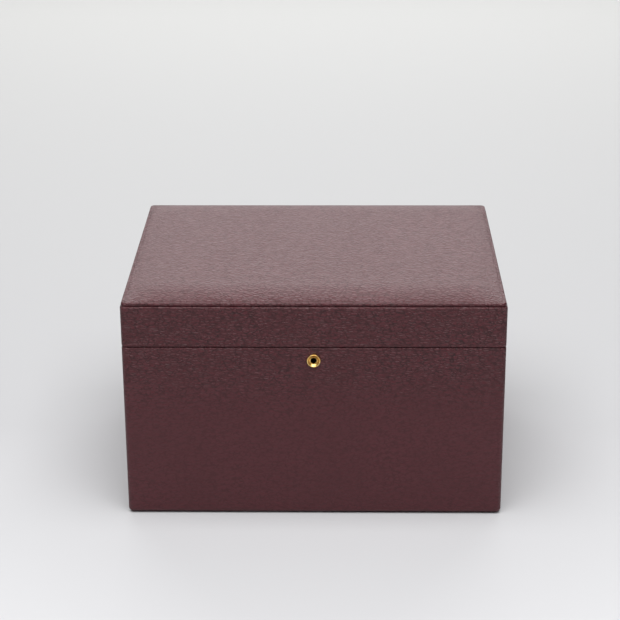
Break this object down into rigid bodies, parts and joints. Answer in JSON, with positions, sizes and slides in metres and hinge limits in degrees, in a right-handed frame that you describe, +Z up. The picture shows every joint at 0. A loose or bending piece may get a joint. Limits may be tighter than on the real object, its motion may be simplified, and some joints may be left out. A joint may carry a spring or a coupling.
{
  "type": "jewellery case",
  "caption": "Rectangular leather-covered jewellery case with a padded hinged lid, a round key lock, a mirror in the lid and a lift-out tray over a divided well.",
  "frame": {"origin": "on the table under the middle of the case walls", "axes": "+X to the right across the lock side, +Y from the lock to the hinges, +Z up"},
  "size_m": [0.28, 0.2366, 0.1735],
  "materials": {
    "leather": "pebble-grained burgundy leather, satin",
    "board": "raw fibreboard",
    "card": "raw card",
    "cloth": "dark suede cloth",
    "suede": "taupe microsuede",
    "foam": "foam",
    "mirror": "silvered glass",
    "brass": "polished gold-coloured brass"
  },
  "bodies": {
    "base": {"base_front_board": "board", "base_back_board": "board", "base_left_board": "board", "base_right_board": "board", "base_bottom_board": "board", "base_leather": "leather", "base_filler_card": "card", "base_underside_cover": "cloth", "base_long_linings": "suede", "base_short_linings": "suede", "well_floor_pad": "suede", "well_long_divider": "suede", "well_short_divider": "suede", "tray_runners": "suede", "left_hinge_base_leaf": "brass", "right_hinge_base_leaf": "brass", "hinge_pins": "brass", "hinge_base_screws": "brass", "lock_case": "brass", "lock_cover": "brass", "lock_faceplate": "brass", "lock_nozzle": "brass", "lock_screws": "brass"},
    "lid": {"lid_front_board": "board", "lid_back_board": "board", "lid_left_board": "board", "lid_right_board": "board", "lid_top_board": "board", "lid_leather": "leather", "lid_filler_card": "card", "lid_panel_board": "board", "lid_foam_pad": "foam", "lid_panel_leather": "leather", "lid_long_linings": "suede", "lid_short_linings": "suede", "mirror_backing": "suede", "mirror_glass": "mirror", "mirror_frame": "suede", "left_hinge_lid_leaf": "brass", "right_hinge_lid_leaf": "brass", "hinge_lid_screws": "brass", "strike_plate": "brass", "strike_screws": "brass"},
    "tray": {"tray_front_wall": "leather", "tray_back_wall": "leather", "tray_left_wall": "leather", "tray_right_wall": "leather", "tray_floor": "suede", "tray_main_divider": "suede", "tray_column_divider": "suede", "tray_row_dividers": "suede", "ring_section_divider": "suede", "tray_pads": "suede", "ring_rolls": "suede", "tray_pull_tabs": "leather"},
    "plug": {"lock_plug": "brass"},
    "bolt": {"lock_bolt": "brass"}
  },
  "joints": [
    {"name": "lid_hinge", "type": "hinge", "parent": "base", "child": "lid", "pos_m": [0, 0.11665, 0.135], "axis": [-1, 0, 0], "range_deg": [0, 100]},
    {"name": "tray_lift", "type": "slide", "parent": "base", "child": "tray", "axis": [0, 0, 1], "range_m": [0, 0.0605]},
    {"name": "plug_turn", "type": "hinge", "parent": "base", "child": "plug", "pos_m": [0, -0.114, 0.125], "axis": [0, 1, 0], "range_deg": [0, 91]},
    {"name": "bolt_slide", "type": "slide", "parent": "base", "child": "bolt", "axis": [1, 0, 0], "range_m": [0, 0.004]}
  ],
  "couplings": [
    {"joint": "tray_lift", "follows": "lid_hinge", "m_per_rad": 0.034377},
    {"joint": "plug_turn", "follows": "bolt_slide", "rad_per_m": 392.6}
  ]
}
